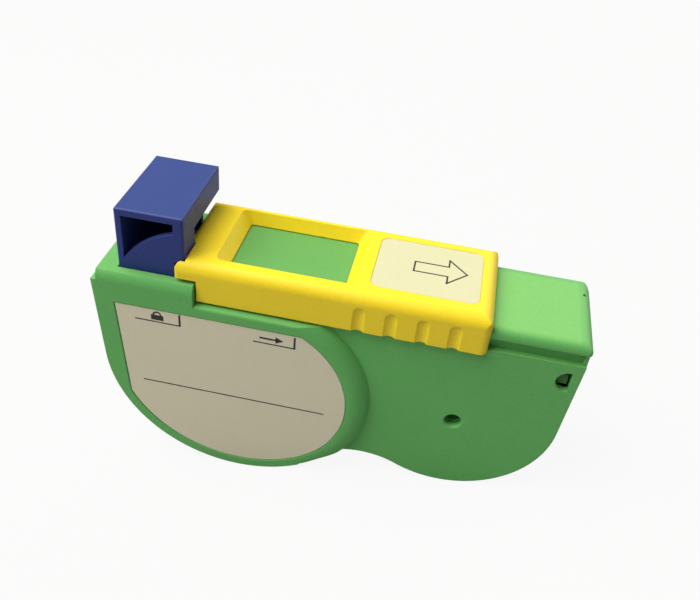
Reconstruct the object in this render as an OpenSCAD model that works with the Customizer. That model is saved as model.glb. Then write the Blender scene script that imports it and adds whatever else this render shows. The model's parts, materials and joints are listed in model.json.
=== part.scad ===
// Fibre optic cleaning cassette: a two-lobed case with a rail on top, a slider that
// uncovers the wiping slot, and a push button that winds cleaning tape from the
// supply reel (right lobe) over a pad to the take-up reel (left lobe).
// X runs along the rail, Y from the front wall to the back, Z up. Z 0 is the bottom
// of the left lobe and Y 0 the middle of the thickness.

/* [Case] */
// Overall length
body_l = 120; // [118:1:126]
// Thickness over the flat covers
case_t = 27; // [26:0.5:29]
// Height of the raised left lobe over the flat covers
raise_t = 3.1; // [2.8:0.1:3.6]
// Radius of the left lobe
lobe_l_r = 35; // [34.4:0.2:35.8]
// Radius of the right lobe
lobe_r_r = 26.8; // [26:0.2:27.6]
// Height of the right lobe's bottom over the left one's
lobe_r_lift = 7; // [6:0.5:8]
// Lean of the straight sides, in degrees
side_lean = 4; // [3:0.5:5]
// Radius of the valley between the lobes
valley_r = 21; // [16:1:24]
// Wall of the mouldings
wall = 1.8; // [1.6:0.1:2]

/* [Rail and deck] */
// Height of the rail's top
rail_z = 61; // [60.6:0.2:61.6]
// Thickness of the rail's slab
slab_h = 2.7; // [2.4:0.1:3]
// Height of the groove under the slab
groove_h = 3.5; // [3.2:0.1:3.8]
// Depth of the groove
groove_d = 1.6; // [1.4:0.1:1.7]
// Height of the deck that carries the button
deck_z = 59; // [58.8:0.1:59.4]
// Length of the wiping slot
slot_l = 28.5; // [26:0.5:29.5]
// Width of the wiping slot
slot_w = 14; // [13.6:0.2:15]

/* [Slider] */
// Length of the slider's top
slider_l = 75.7; // [73:0.1:77]
// Height of the slider's top over the rail
slider_h = 3.6; // [3.4:0.1:4]
// Wall of the slider
slider_wall = 1.5; // [1.3:0.1:1.5]
// Gap between the slider and the case
slider_gap = 0.2; // [0.15:0.05:0.25]
// Way from closed to open
slider_way = 29; // [26:0.5:29]
// Length of the window, at its lower edge
window_l = 28.6; // [26:0.2:28.8]
// Width of the window, at its lower edge
window_w = 20.4; // [19:0.2:20.8]
// Number of grip grooves
grip_n = 4; // [2:1:4]

/* [Button] */
// Length of the button's head along the rail
button_l = 16.8; // [16:0.2:17.4]
// Depth of the button from front to back
button_t = 26.8; // [26:0.2:27]
// Height of the head over the deck
button_h = 16.6; // [15:0.2:18]
// Stroke of the button
button_way = 4; // [3:0.1:4]

/* [Tape] */
// Width of the cleaning tape
tape_w = 13; // [12:0.2:13.2]
// Thickness of the cleaning tape
tape_t = 0.3; // [0.2:0.05:0.4]
// Radius of the roll of new tape
new_r = 17; // [12:0.5:17.5]
// Radius of the roll of used tape
used_r = 10; // [8:0.5:14]
// Radius of the guide rollers
roller_r = 3; // [2.6:0.1:3.1]

/* [Gears] */
// Module of all teeth
gear_m = 0.8; // [0.78:0.005:0.81]
// Teeth of the pinion
pinion_n = 10; // [10:1:11]
// Teeth of the wheel
wheel_n = 20; // [19:1:20]
// Teeth of the take-up gear
reel_n = 48; // [47:1:48]

/* [Hidden] */
$fn = 72;

// Fineness of the outline's arcs, overrun of every cut, and the running clearances
outline_fine = 1.6;
over = 0.5;
run_gap = 0.05;
soft_gap = 0.15;
end_gap = 0.25;

// Case: planes along Y, and heights
half_t = case_t / 2;
raised_y = half_t + raise_t;
cover_t = 1.6;
part_y = half_t - cover_t;
shoulder_z = rail_z - slab_h - groove_h;
neck_y = half_t - groove_d;
ledge_drop = 1.4;
ledge_z = shoulder_z - ledge_drop;
corner_drop = 2.7;
corner_in = 1;
corner_z = deck_z - corner_drop;
deck_end_in = 1.3;
edge_r = 0.8;

// Case: lobes in the X-Z plane
lobe_l = [-body_l / 2 + (lobe_l_r + sin(side_lean) * (corner_z - lobe_l_r)) / cos(side_lean), lobe_l_r];
lobe_r_z = lobe_r_lift + lobe_r_r;
lobe_r = [body_l / 2 - (lobe_r_r + sin(side_lean) * (rail_z - lobe_r_z)) / cos(side_lean), lobe_r_z];
lobe_gap = norm(lobe_r - lobe_l);
lobe_dir = (lobe_r - lobe_l) / lobe_gap;
valley_a = ((lobe_l_r + valley_r) ^ 2 - (lobe_r_r + valley_r) ^ 2 + lobe_gap ^ 2) / (2 * lobe_gap);
valley_h = sqrt((lobe_l_r + valley_r) ^ 2 - valley_a ^ 2);
valley = lobe_l + valley_a * lobe_dir + valley_h * [lobe_dir[1], -lobe_dir[0]];

// Raised lobe: its rim is a circle that touches the lobe's outline inside
rim_shift = 7.4;
rim_deg = -60;
rim = lobe_l + rim_shift * [cos(rim_deg), sin(rim_deg)];
rim_r = 30.6;
rim_flat_r = 26;
rim_in = rim_r - rim_flat_r;
rim_round = (rim_in ^ 2 + raise_t ^ 2) / (2 * raise_t);

// Label on the raised lobe
label_t = 0.2;
label_deep = 0.35;
label_margin = 2.8;
label_side = 5.2;
label_z = 50.1;
label_line = 0.25;
label_r = lobe_l_r - label_margin;

// Button: head, stem and its hole in the deck
button_wall = 1.7;
button_in = 6.1;
button_x = -body_l / 2 + button_in;
head_wall_r = 2.45;
head_top_wall = 1.8;
stem_l = button_l - head_wall_r;
stem_in = 6.3;
stem_y = button_t / 2 - stem_in;
head_z = deck_z + button_h;
head_gap = 0.15;
head_under_z = deck_z + button_way + head_gap;
head_cut_z = rail_z + slider_h + button_way + 2 * head_gap;
head_cut_y = -6;
head_floor_up = 2.5;
head_floor_z = deck_z + head_floor_up;
head_round = 0.6;
floor_t = 1.5;
hole_gap = 0.12;
stem_down = 7;
stem_z = deck_z - stem_down;
catch_out = 0.8;
catch_h = 1;
catch_gap = 0.1;
hole_x0 = button_x - hole_gap;
hole_x1 = button_x + stem_l + hole_gap;
hole_y0 = -button_t / 2 - hole_gap;
hole_y1 = stem_y + hole_gap;

// Front opening of the head: an arc from low left to high right
mouth_low = 1.1;
mouth_high = 4.6;
mouth_left_z = head_under_z - mouth_low;
mouth_right_z = head_z - mouth_high;
mouth_top_z = head_z - head_top_wall;
mouth_r = 24;
mouth_x0 = button_x + button_wall;
mouth_x1 = button_x + stem_l;
mouth_mid = [(mouth_x0 + mouth_x1) / 2, (mouth_left_z + mouth_right_z) / 2];
mouth_half = [(mouth_x1 - mouth_x0) / 2, (mouth_right_z - mouth_left_z) / 2];
mouth_rise = sqrt(mouth_r ^ 2 - norm(mouth_half) ^ 2);
mouth_centre = mouth_mid + mouth_rise * [mouth_half[1], -mouth_half[0]] / norm(mouth_half);

// Deck, ledge and slider ends along X
slider_off = 0.35;
slider_x0 = button_x + stem_l + slider_off;
slider_x1 = slider_x0 + slider_l;
skirt_in = 5.4;
skirt_gap = 0.5;
skirt_x0 = slider_x0 + skirt_in;
deck_x1 = skirt_x0 - skirt_gap;
deck_x0 = -body_l / 2 + deck_end_in;

// Slider: section and window
slider_y = half_t + slider_gap + slider_wall;
slider_in_y = slider_y - slider_wall;
slider_z = rail_z + slider_h;
slider_top_wall = 1.7;
skirt_lap = 0.6;
skirt_z = shoulder_z - skirt_lap;
nose_up = 1.1;
nose_z = deck_z + nose_up;
slider_round = 2.8;
nose_round = 2.4;
plan_round = 1.8;
nose_plan_round = 0.8;
lip_gap = 0.35;
lip_side = 0.3;
lip_y = neck_y + lip_side;
window_in = 11.5;
window_x0 = slider_x0 + window_in;
window_yc = 0.75;
funnel_l = 2.8;
funnel_y = 1.5;
funnel_wall = 1.4;
funnel_round = 1.8;
funnel_low_round = 0.6;
funnel_z = rail_z + slider_gap;
relief_gap = 0.25;
grip_w = 3;
grip_deep = 0.7;
grip_r = (grip_w ^ 2 / 4 + grip_deep ^ 2) / (2 * grip_deep);
grip_pitch = 7.6;
grip_end = 8;
grip_low = 1.2;

// Label with the arrow on the slider
arrow_label_x = 6.7;
arrow_label_in = 0.25;
arrow_label_l = 26;
arrow_label_w = 21;
arrow_label_y = 0.5;
arrow_label_r = 2.2;

// Rail details
slab_round = 2;
slab_end_round = 2.2;
slab_plan_round = 5;
slab_wall = 2.2;
slot_shift = 0.2;
slot_x0 = window_x0 + slider_way + slot_shift;
pin_hole_r = 0.45;
pin_hole_in = 1.6;
pin_hole_y = 6.5;
pin_hole_deep = 1.5;
stop_l = 1;
stop_t = 0.8;
stop_in = 0.35;
stop_x = body_l / 2 - stop_in - stop_l;
lip_l = stop_x - soft_gap - slider_way - skirt_x0;

// Windows in the front wall of the right lobe
eye_r = 2.08;
eye_bevel = 0.4;
latch_r = 2.9;
latch_l = 3.4;
latch_in = 2.1;
latch_z = 49.3;
latch_h = 2.8;
latch_gap = 0.5;
latch_deep = 1.2;

// Gears
press_deg = 25;
addendum = 0.8 * gear_m;
dedendum = 1.05 * gear_m;
backlash = 0.14;
pinion_r = gear_m * pinion_n / 2;
wheel_r = gear_m * wheel_n / 2;
reel_r = gear_m * reel_n / 2;
pitch = PI * gear_m;
rack_t = 2.6;
rack_y0 = -8.8;
rack_w = 3.8;
rack_in = 0.3;
rack_line = button_x + rack_in + rack_t + dedendum;
take_up = rim;
drive_x = rack_line + pinion_r;
drive_z = take_up[1] + sqrt((wheel_r + reel_r) ^ 2 - (take_up[0] - drive_x) ^ 2);
drive = [drive_x, drive_z];
mesh_deg = atan2(take_up[1] - drive[1], take_up[0] - drive[0]);
gear_w = 3;
gear_y0 = -12.4;
gear_y1 = gear_y0 + gear_w;
wheel_w = 2.8;
wheel_y0 = gear_y0 + (gear_w - wheel_w) / 2;
wheel_y1 = wheel_y0 + wheel_w;
pin_r = 1.25;
ratchet_r = 6;
ratchet_n = 12;
ratchet_t = 0.7;
ratchet_share = 0.96;
ratchet_deep = 2;
ratchet_y0 = wheel_y1 - ratchet_deep;
arm_r = 4.6;
arm_t = 0.8;
arm_from = 20;
arm_to = 130;
arm_root = 12;
pinion_hub_r = 3;
pinion_y0 = wheel_y1 + 2 * soft_gap;
pinion_y1 = rack_y0 + rack_w + soft_gap;
rack_x0 = button_x + rack_in;
rack_z0 = drive[1] - pitch;
rack_teeth = 2;
rack_tongue = 5;
rack_tongue_t = 1.1;
rack_guide_h = 5;

// Reels
reel_gap = 0.4;
flange_t = 1.1;
flange_r = 22;
hub_r = 6;
post_r = 3;
spacer_r = 4.2;
supply_flange_out = 0.5;
supply_flange_r = new_r + supply_flange_out;
supply_hub_r = 5;
supply_dx = 1.1;
supply_dz = -4.4;
supply = lobe_r + [supply_dx, supply_dz];
flange_y = tape_w / 2 + reel_gap;
flange_out = flange_y + flange_t;
spigot_r = 4.6;
spigot_l = 2;
spigot_boss_r = 6.6;
boss_r = 12;
case_in_y = half_t - wall;
raised_in_y = raised_y - wall;

// Pawl at the take-up gear and brake at the supply flange
pawl_deg = 43;
pawl_out = 4.36;
pawl_w = 2;
pawl_y0 = -case_in_y + soft_gap;
pawl_pin_r = 1.2;
pawl_ring_r = 2.4;
pawl_tip_deg = 30;
pawl_tip_r = 0.35;
pawl_tail = 7.6;
pawl_tail_deg = 58;
pawl_tail_t = 0.7;
pawl_pin = take_up + (reel_r + addendum + pawl_out) * [cos(pawl_deg), sin(pawl_deg)];
pawl_tip = take_up
    + (reel_r + addendum + soft_gap + pawl_tip_r) * [cos(pawl_tip_deg), sin(pawl_tip_deg)];
brake_deg = 17;
brake_out = 5.4;
brake_w = 1.9;
brake_y0 = -flange_out - end_gap;
brake_pin_r = 0.8;
brake_ring_r = 1.6;
brake_tip_deg = -5;
brake_tip_r = 0.6;
brake_arm_t = 1;
brake_tail = 6;
brake_pin = supply + (supply_flange_r + brake_out) * [cos(brake_deg), sin(brake_deg)];
brake_tip = supply
    + (supply_flange_r + soft_gap + brake_tip_r) * [cos(brake_tip_deg), sin(brake_tip_deg)];

// Guide rollers, tape and pad
roller_drop = 4;
roller_z = shoulder_z - roller_drop;
roller_out = 5;
roller_l = [slot_x0 - roller_out, roller_z];
roller_rt = [slot_x0 + slot_l + roller_out, roller_z];
roller_rim = 0.5;
roller_side = 0.7;
roller_w = tape_w + 2 * roller_side;
axle_r = 1;
socket_r = 2;
socket_deep = 1.1;
neck_in_y = neck_y - wall;
neck_top_z = rail_z - slab_wall;
pad_in = 4;
pad_x0 = slot_x0 + pad_in;
pad_x1 = slot_x0 + slot_l - pad_in;
pad_w = 12.6;
pad_h = 2.6;
pad_round = 0.8;
tape_under = 0.5;
pad_z = rail_z - tape_under - tape_t - soft_gap;
holder_t = 2;
holder_side = 0.2;
holder_end = 0.5;
rail_rib = 1.2;

// Way of the tape: circles that it passes, with their radii and sides
tape_off = soft_gap + tape_t / 2;
tape_turns = [
    [supply, new_r + tape_off, 1], [roller_rt, roller_r + tape_off, 1],
    [[pad_x1 - pad_round, pad_z - pad_round], pad_round + tape_off, 1],
    [[pad_x0 + pad_round, pad_z - pad_round], pad_round + tape_off, 1],
    [roller_l, roller_r + tape_off, 1], [take_up, used_r + tape_off, -1]
];

// Screws from the back, placed by shares of a lobe's or the valley's radius
screw_shares = [[-0.545, -0.614], [-0.36, 0.366], [0.645, 0.567], [0.08, 1.266]];
screws = [
    lobe_l + lobe_l_r * screw_shares[0], lobe_l + lobe_l_r * screw_shares[1],
    lobe_r + lobe_r_r * screw_shares[2], valley + valley_r * screw_shares[3]
];
screw_deep = [raised_y, raised_y, half_t, half_t];
screw_r = 1.3;
screw_l = 14;
screw_head_r = 2.5;
screw_head_h = 1.5;
screw_boss_r = 3;
screw_well_r = 2.75;
screw_seat_in = 0.2;
screw_seat_t = 1.8;
screw_seat_y = part_y - screw_seat_in;
screw_boss_y = screw_seat_y - screw_seat_t;

// Button spring and its shelf
wire_r = 0.4;
spring_side = 1.475;
spring_r = stem_l / 2 - button_wall - spring_side;
spring_n = 6;
spring_y = 0;
spring_dx = 0.3;
spring_x = button_x + stem_l / 2 + spring_dx;
spring_seat_h = 1.5;
spring_rings = 12;
spring_sides = 6;
shelf_t = 1.4;
shelf_up = 1;
shelf_z = drive[1] + wheel_r + addendum + shelf_up;
shelf_gap = 0.3;
spring_z0 = shelf_z + shelf_t + wire_r;
spring_z1 = head_floor_z - floor_t - wire_r;
spring_last = spring_n * spring_rings;
catch_l = 8;
tongue_gap = 0.1;
tongue_t = 1;
tongue_top = 5;

// Turns a shape drawn in X-Z into a plate from y0 to y1
module along_y(y0, y1) {
    translate([0, y1, 0]) rotate([90, 0, 0]) linear_extrude(y1 - y0) children();
}

// Turns a shape drawn in Y-Z into a bar from x0 to x1
module along_x(x0, x1) {
    translate([x0, 0, 0]) rotate([90, 0, 90]) linear_extrude(x1 - x0) children();
}

// A box between two corners
module span(a, b) {
    translate(a) cube(b - a);
}

// A round bar along Y
module rod(c, r, y0, y1) {
    along_y(y0, y1) translate(c) circle(r);
}

// A rectangle from a to b with round corners
module round_box(a, b, r) {
    translate([a[0] + r, a[1]]) square([b[0] - a[0] - 2 * r, b[1] - a[1]]);
    translate([a[0], a[1] + r]) square([b[0] - a[0], b[1] - a[1] - 2 * r]);
    for (x = [a[0] + r, b[0] - r], y = [a[1] + r, b[1] - r]) translate([x, y]) circle(r);
}

// What a round edge takes away from a square corner at c, towards -x and -y
module corner_cut(c, r) {
    difference() {
        translate(c - [r, r]) square(r + over);
        translate(c - [r, r]) circle(r);
    }
}

// Left end of the outline's straight side at height z, moved in by i
function side_l(z, i) =
    lobe_l[0] - (lobe_l_r - i + sin(side_lean) * (z - lobe_l[1])) / cos(side_lean);
function side_r(z, i) =
    lobe_r[0] + (lobe_r_r - i + sin(side_lean) * (z - lobe_r[1])) / cos(side_lean);

// Points of an arc about c from angle a0 to a1
function arc(c, r, a0, a1) =
    let (n = ceil(abs(a1 - a0) * $fn / 360 * outline_fine))
    [for (k = [0 : n]) let (a = a0 + (a1 - a0) * k / n) c + r * [cos(a), sin(a)]];

// Direction from one point to another, from 0 to 360 degrees
function aim(a, b) = let (w = atan2(b[1] - a[1], b[0] - a[0])) w < 0 ? w + 360 : w;

// Outline of the case in X-Z, moved in by i and cut off at height top
module outline(i, top) {
    polygon([
        [side_l(top, i), top],
        each arc(lobe_l, lobe_l_r - i, 180 + side_lean, aim(lobe_l, valley)),
        each arc(valley, valley_r + i, aim(valley, lobe_l), aim(valley, lobe_r)),
        each arc(lobe_r, lobe_r_r - i, aim(lobe_r, valley), 360 - side_lean),
        [side_r(top, i), top]
    ]);
}

// Raised lobe in X-Z: the outline with its stepped top
module raised_outline(i, top_i) {
    intersection() {
        outline(i, deck_z);
        polygon([
            [-body_l, 0], [-body_l, corner_z - top_i], [deck_x0 + top_i, corner_z - top_i],
            [deck_x0 + top_i, deck_z - top_i], [deck_x1 - top_i, deck_z - top_i],
            [deck_x1 - top_i, ledge_z - top_i], [body_l, ledge_z - top_i], [body_l, 0]
        ]);
    }
}

// Part of the X-Z plane left of the rim: there the lobe's own outline bounds the raise
module rim_left() {
    polygon([
        rim, rim + body_l * [cos(rim_deg), sin(rim_deg)], [-body_l, -body_l],
        [-body_l, deck_z + over], [rim[0], deck_z + over]
    ]);
}

// Plate in X-Z between the depths y0 and y1 of one side: -1 is the front, 1 the back
module side_plate(side, y0, y1) {
    along_y(min(side * y0, side * y1), max(side * y0, side * y1)) children();
}

// Body of revolution of the raised lobe's rim, from the flat cover outwards
module rim_body(side) {
    translate([rim[0], side * half_t, rim[1]]) rotate([-side * 90, 0, 0]) rotate_extrude()
        intersection() {
            translate([0, -over]) square([rim_r, raise_t + over]);
            union() {
                translate([0, -over]) square([rim_flat_r, raise_t + over]);
                translate([0, -over]) square([rim_r, over]);
                translate([rim_flat_r, raise_t - rim_round]) circle(rim_round);
            }
        }
    side_plate(side, half_t - over, raised_y) rim_left();
}

// The raised lobe over the flat cover
module raised_lobe(side) {
    corner_r = (corner_in ^ 2 + corner_drop ^ 2) / (2 * corner_in);
    difference() {
        intersection() {
            side_plate(side, half_t - over, raised_y) raised_outline(0, 0);
            rim_body(side);
        }
        along_x(-body_l, deck_x1 + over) difference() {
            translate([side * (raised_y + over / 2 - corner_in / 2), corner_z + corner_drop / 2 + over / 2])
                square([corner_in + over, corner_drop + over], center = true);
            translate([side * (raised_y - corner_r), corner_z]) circle(corner_r);
        }
        along_x(deck_x1, rim[0] + rim_r) difference() {
            translate([side * (raised_y + over / 2 - edge_r / 2), ledge_z + over / 2 - edge_r / 2])
                square(edge_r + over, center = true);
            translate([side * (raised_y - edge_r), ledge_z - edge_r]) circle(edge_r);
        }
    }
}

// Hollow behind the raised lobe
module raised_hollow(side) {
    side_plate(side, case_in_y - over, raised_in_y) intersection() {
        raised_outline(wall, wall);
        union() {
            translate(rim) circle(rim_flat_r);
            rim_left();
        }
    }
}

// Slab of the rail with its round edges and end
module slab() {
    z0 = rail_z - slab_h;
    intersection() {
        along_x(deck_x1 - wall, body_l / 2) difference() {
            translate([-half_t, z0]) square([case_t, slab_h]);
            corner_cut([half_t, rail_z], slab_round);
            mirror([1, 0]) corner_cut([half_t, rail_z], slab_round);
        }
        along_y(-half_t, half_t) difference() {
            translate([deck_x1 - wall, z0]) square([body_l / 2 - deck_x1 + wall, slab_h]);
            corner_cut([body_l / 2, rail_z], slab_end_round);
        }
        translate([0, 0, z0]) linear_extrude(slab_h) difference() {
            translate([deck_x1 - wall, -half_t]) square([body_l / 2 - deck_x1 + wall, case_t]);
            corner_cut([body_l / 2, half_t], slab_plan_round);
            mirror([0, 1]) corner_cut([body_l / 2, half_t], edge_r);
        }
    }
}

// Outline of the side label, moved in by i
module label_shape(i) {
    intersection() {
        union() {
            translate(lobe_l) circle(label_r - i);
            translate([-body_l, lobe_l[1]]) square([body_l, lobe_l[1]]);
        }
        union() {
            translate(rim) circle(label_r - rim_shift - i);
            rim_left();
        }
        polygon([
            [side_l(0, label_side + i), 0], [side_l(label_z, label_side + i), label_z - i],
            [body_l, label_z - i], [body_l, 0]
        ]);
    }
}

// Opening of the latch window in the front wall: a D with its flat side to the right
module latch_shape() {
    x1 = side_r(latch_z, 0) - latch_in;
    intersection() {
        translate([x1 - latch_l + latch_r, latch_z]) circle(latch_r);
        translate([x1 - latch_l, latch_z - latch_r]) square([latch_l, 2 * latch_r]);
    }
}

// Green moulding: front wall, side wall, deck with the button's hole, rail and slot
module case_body() {
    color([0.38, 0.68, 0.37]) {
        difference() {
            union() {
                along_y(-half_t, part_y) {
                    outline(0, shoulder_z);
                    raised_outline(0, 0);
                }
                raised_lobe(-1);
                span([deck_x1 - wall, -neck_y, shoulder_z - over],
                    [body_l / 2 - stop_in, neck_y, rail_z - slab_h + over]);
                slab();
                for (y = [-neck_y - stop_t, neck_y - over])
                    translate([stop_x, y, shoulder_z - over])
                        cube([stop_l, stop_t + over, groove_h + 2 * over]);
            }
            along_y(-case_in_y, part_y + over) {
                outline(wall, shoulder_z - wall);
                raised_outline(wall, wall);
            }
            raised_hollow(-1);
            span([deck_x1 + wall / 2, -neck_in_y, shoulder_z - 2 * wall],
                [body_l / 2 - wall - stop_in, neck_in_y, neck_top_z]);
            span([hole_x0, hole_y0, deck_z - 2 * wall], [hole_x1, hole_y1, deck_z + over]);
            span([slot_x0, -slot_w / 2, neck_top_z - over],
                [slot_x0 + slot_l, slot_w / 2, rail_z + over]);
            along_y(-raised_y - over, -raised_y + label_deep) label_shape(-label_line);
            rod(supply, eye_r, -half_t - over, -case_in_y + over);
            translate([supply[0], -half_t + eye_bevel, supply[1]]) rotate([90, 0, 0])
                cylinder(r1 = eye_r, r2 = eye_r + eye_bevel + over, h = eye_bevel + over);
            along_y(-half_t - over, -case_in_y + over) latch_shape();
            translate([body_l / 2 - pin_hole_in, pin_hole_y, rail_z - pin_hole_deep])
                cylinder(r = pin_hole_r, h = pin_hole_deep + over);
        }
        case_bosses();
        spring_shelf();
    }
}

// Screw bosses, pin sockets, pad ribs and the posts of pawl and brake inside the case
module case_bosses() {
    for (i = [0 : len(screws) - 1]) difference() {
        rod(screws[i], screw_boss_r, -screw_deep[i] + wall / 2, screw_boss_y);
        rod(screws[i], screw_r + run_gap, screw_seat_y - screw_l - over, screw_boss_y + over);
    }
    for (c = [roller_l, roller_rt]) difference() {
        rod(c, socket_r, -half_t + wall / 2, -roller_w / 2 - soft_gap);
        rod(c, axle_r + run_gap, -case_in_y + socket_deep, 0);
    }
    difference() {
        rod(drive, 2 * pin_r, -raised_y + wall / 2, wheel_y0 - soft_gap);
        rod(drive, pin_r + run_gap, -raised_in_y + socket_deep / 2, 0);
    }
    for (y = [-neck_in_y - wall / 2, neck_in_y - rail_rib])
        span([pad_x0, y, pad_z - pad_h - holder_t - rail_rib],
            [pad_x1, y + rail_rib + wall / 2, pad_z - pad_h - holder_t - run_gap]);
    rod(pawl_pin, pawl_pin_r, -raised_y + wall / 2, pawl_y0 + pawl_w);
    rod(brake_pin, brake_pin_r, -half_t + wall / 2, brake_y0 + brake_w);
}

// Shelf under the button's spring with a seat for it, and the rib behind the rack
module spring_shelf() {
    difference() {
        intersection() {
            along_y(-raised_y + wall / 2, part_y - wall - end_gap) outline(wall / 2, shoulder_z);
            union() {
                span([-body_l, -raised_y, shelf_z],
                    [button_x + stem_l + 2 * wall, part_y, shelf_z + shelf_t]);
                span([-body_l, rack_y0, drive[1] - rack_guide_h / 2],
                    [rack_x0 - soft_gap, rack_y0 + rack_w, drive[1] + rack_guide_h / 2]);
            }
        }
        span([button_x - shelf_gap, rack_y0 - shelf_gap, shelf_z - over],
            [rack_line + addendum + shelf_gap, rack_y0 + rack_w + shelf_gap, shelf_z + shelf_t + over]);
    }
    translate([spring_x, spring_y, shelf_z + shelf_t / 2])
        cylinder(r = spring_r - wire_r - shelf_gap, h = shelf_t / 2 + spring_seat_h);
}

// Green back cover with its raised lobe, the reel posts and the screw wells
module rear_cover() {
    latch_x1 = side_r(latch_z, 0) - latch_in - latch_gap;
    color([0.36, 0.65, 0.35]) difference() {
        union() {
            difference() {
                union() {
                    along_y(part_y, half_t) {
                        outline(0, shoulder_z);
                        raised_outline(0, 0);
                    }
                    raised_lobe(1);
                }
                raised_hollow(1);
            }
            for (i = [0 : len(screws) - 1])
                rod(screws[i], screw_well_r + wall / 2, screw_boss_y, screw_deep[i] - wall / 2);
            rod(take_up, post_r, -raised_in_y + end_gap, raised_y - wall / 2);
            rod(supply, post_r, -case_in_y + end_gap, half_t - wall / 2);
            rod(drive, post_r, pinion_y1 + end_gap, raised_y - wall / 2);
            for (c = [roller_l, roller_rt])
                rod(c, socket_r, roller_w / 2 + soft_gap, half_t - wall / 2);
            span([latch_x1 - latch_l + 2 * latch_gap, -half_t + latch_deep, latch_z - latch_h / 2],
                [latch_x1, half_t - wall / 2, latch_z + latch_h / 2]);
            cover_tongue();
        }
        for (i = [0 : len(screws) - 1]) {
            rod(screws[i], screw_r + 2 * run_gap, screw_boss_y - over, raised_y + over);
            rod(screws[i], screw_well_r, screw_seat_y, raised_y + over);
        }
        for (c = [roller_l, roller_rt]) rod(c, axle_r + run_gap, 0, part_y);
        rod(drive, pin_r + run_gap, wheel_y0, 0);
        rod(supply, eye_r - eye_bevel, -case_in_y, 0);
    }
}

// Low tongue that centres the cover in the side wall
module cover_tongue() {
    top = shoulder_z - tongue_top;
    difference() {
        along_y(part_y - cover_t, half_t - wall / 2) outline(wall + tongue_gap, top);
        along_y(part_y - cover_t - over, half_t + over) outline(wall + tongue_gap + tongue_t, top + over);
        span([-body_l, 0, shelf_z - wall], [rim[0], raised_y, deck_z]);
    }
}

// Four self-tapping screws with cross-slotted heads
module cover_screws() {
    color([0.6, 0.61, 0.62]) for (c = screws) difference() {
        union() {
            rod(c, screw_r, screw_seat_y - screw_l, screw_seat_y);
            rod(c, screw_head_r, screw_seat_y, screw_seat_y + screw_head_h);
        }
        for (a = [0, 90]) translate([c[0], screw_seat_y + screw_head_h, c[1]]) rotate([0, a, 0])
            cube([screw_head_r, screw_head_h, screw_r / 2], center = true);
    }
}

// Grey sticker in the recess of the raised lobe
module side_label() {
    color([0.72, 0.7, 0.62])
        along_y(-raised_y + label_deep - label_t, -raised_y + label_deep) label_shape(0);
}

// The sector of a ring between two angles
module ring_part(r0, r1, a0, a1) {
    difference() {
        circle(r1);
        circle(r0);
        polygon([
            [0, 0],
            for (k = [0 : 6]) let (a = a1 + (a0 + 360 - a1) * k / 6)
                2 * r1 * [cos(a), sin(a)]
        ]);
    }
}

// A flat strip from a to b
module strip(a, b, w) {
    n = w / 2 * [b[1] - a[1], a[0] - b[0]] / norm(b - a);
    polygon([a + n, b + n, b - n, a - n]);
}

// Plate over the slider's rail with its skirts, stepped up at the left over the deck
module slider_shell() {
    intersection() {
        along_x(slider_x0, slider_x1) difference() {
            translate([-slider_y, skirt_z]) square([2 * slider_y, slider_z - skirt_z]);
            corner_cut([slider_y, slider_z], slider_round);
            mirror([1, 0]) corner_cut([slider_y, slider_z], slider_round);
        }
        along_y(-slider_y, slider_y) difference() {
            translate([slider_x0, skirt_z]) square([slider_l, slider_z - skirt_z]);
            translate([slider_x0 - over, skirt_z - over])
                square([skirt_in + over, nose_z - skirt_z + over]);
            corner_cut([slider_x1, slider_z], slider_round);
            translate([slider_x0, 0]) mirror([1, 0]) corner_cut([0, slider_z], nose_round);
        }
        translate([0, 0, skirt_z]) linear_extrude(slider_z - skirt_z) difference() {
            translate([slider_x0, -slider_y]) square([slider_l, 2 * slider_y]);
            for (side = [0, 1]) mirror([0, side]) {
                corner_cut([slider_x1, slider_y], plan_round);
                translate([slider_x0, 0]) mirror([1, 0]) corner_cut([0, slider_y], nose_plan_round);
            }
        }
    }
}

// Tapered body of the window, moved out by o
module funnel(o) {
    x = [window_x0 - o, window_x0 + window_l + o];
    y = [window_yc - window_w / 2 - o, window_yc + window_w / 2 + o];
    z = [funnel_z, slider_z];
    hull() {
        translate([0, 0, z[0]]) linear_extrude(wire_r)
            round_box([x[0], y[0]], [x[1], y[1]], funnel_low_round, $fn = 24);
        translate([0, 0, z[1] - wire_r + (o > 0 ? -funnel_round / 2 : over)]) linear_extrude(wire_r)
            round_box([x[0] - funnel_l, y[0] - funnel_y], [x[1] + funnel_l, y[1] + funnel_y],
                funnel_round, $fn = 24);
    }
}

// Sliding cover over the wiping slot
module slider_cover() {
    color([0.93, 0.83, 0.2]) difference() {
        union() {
            difference() {
                slider_shell();
                span([slider_x0 + slider_wall, -slider_in_y, skirt_z - over],
                    [slider_x1 - slider_wall, slider_in_y, slider_z - slider_top_wall]);
                span([slider_x0 - over, -slider_in_y, skirt_z - over],
                    [slider_x1 + over, slider_in_y, funnel_z]);
            }
            for (y = [-slider_in_y - slider_wall / 2, lip_y])
                span([skirt_x0, y, shoulder_z + lip_gap],
                    [skirt_x0 + lip_l, y + slider_in_y - lip_y + slider_wall / 2,
                        rail_z - slab_h - lip_gap]);
            funnel(funnel_wall);
        }
        funnel(0);
        span([slider_x0 - over, -slider_in_y, nose_z - over],
            [button_x + button_l + relief_gap, head_cut_y + relief_gap, slider_z + over]);
        translate([0, 0, slider_z - arrow_label_in]) linear_extrude(arrow_label_in + over)
            arrow_label_shape(0);
        for (i = [0 : grip_n - 1], side = [-1, 1])
            translate([slider_x1 - grip_end - i * grip_pitch, side * (slider_y + grip_r - grip_deep), 0]) {
                translate([0, 0, skirt_z - over])
                    cylinder(r = grip_r, h = rail_z - skirt_z - grip_low + over);
                translate([0, 0, rail_z - grip_low]) sphere(grip_r);
            }
    }
}

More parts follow.
